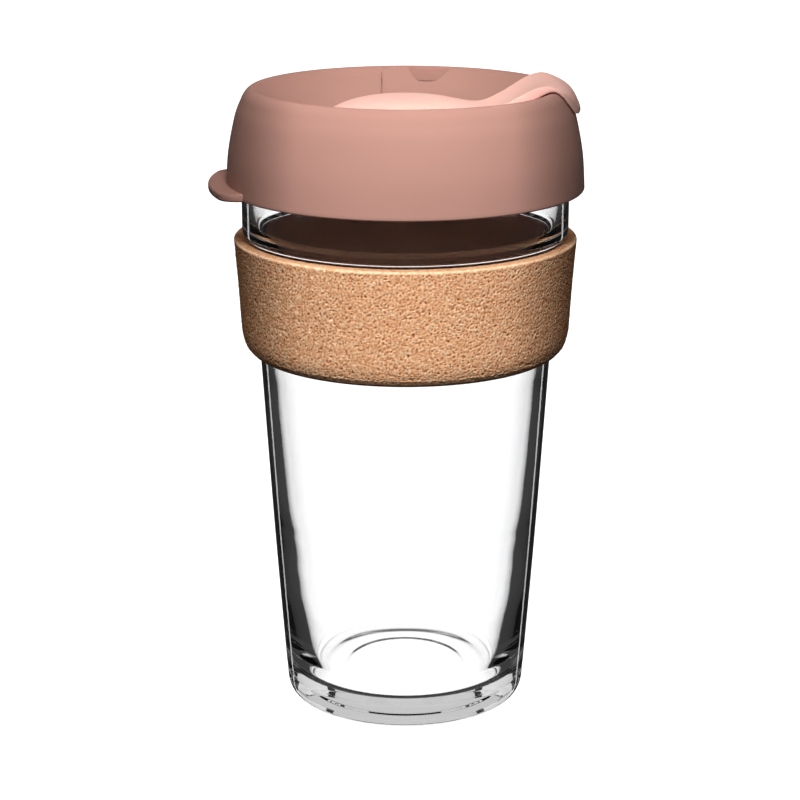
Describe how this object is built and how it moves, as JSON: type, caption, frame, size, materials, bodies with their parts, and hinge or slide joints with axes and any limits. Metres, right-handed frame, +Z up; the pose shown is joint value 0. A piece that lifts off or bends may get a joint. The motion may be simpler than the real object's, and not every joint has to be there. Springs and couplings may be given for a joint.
{
  "type": "glass travel tumbler",
  "caption": "Clear-glass travel tumbler with a cork band under its shoulder, a press-on lid with a grip tab, and a plug whose tongue turns over the sip hole.",
  "frame": {"origin": "centre of the flat base, on the surface that the cup stands on", "axes": "+Z up the cup's axis, +X towards the plug's tongue at rest, +Y close to the sip hole, -X close to the lid's grip tab"},
  "size_m": [0.0924, 0.088, 0.1581],
  "materials": {
    "clear_glass": "clear, smooth pressed soda-lime glass",
    "cork": "sanded agglomerated cork with fine dark flecks",
    "lid_plastic": "matte dusty-rose moulded plastic",
    "plug_plastic": "satin salmon-pink soft elastomer"
  },
  "bodies": {
    "cup": {"glass_cup": "clear_glass"},
    "band": {"cork_band": "cork"},
    "lid_body": {"lid": "lid_plastic"},
    "plug_body": {"plug": "plug_plastic"}
  },
  "joints": [
    {"name": "lid_lift", "type": "slide", "parent": "cup", "child": "lid_body", "axis": [0, 0, 1], "range_m": [0, 0.05]},
    {"name": "plug_turn", "type": "hinge", "parent": "lid_body", "child": "plug_body", "pos_m": [0, 0, 0.15], "axis": [0, 0, 1], "range_deg": [-165.6, 78]},
    {"name": "band_slide", "type": "slide", "parent": "cup", "child": "band", "axis": [0, 0, -1], "range_m": [0, 0.09]}
  ]
}
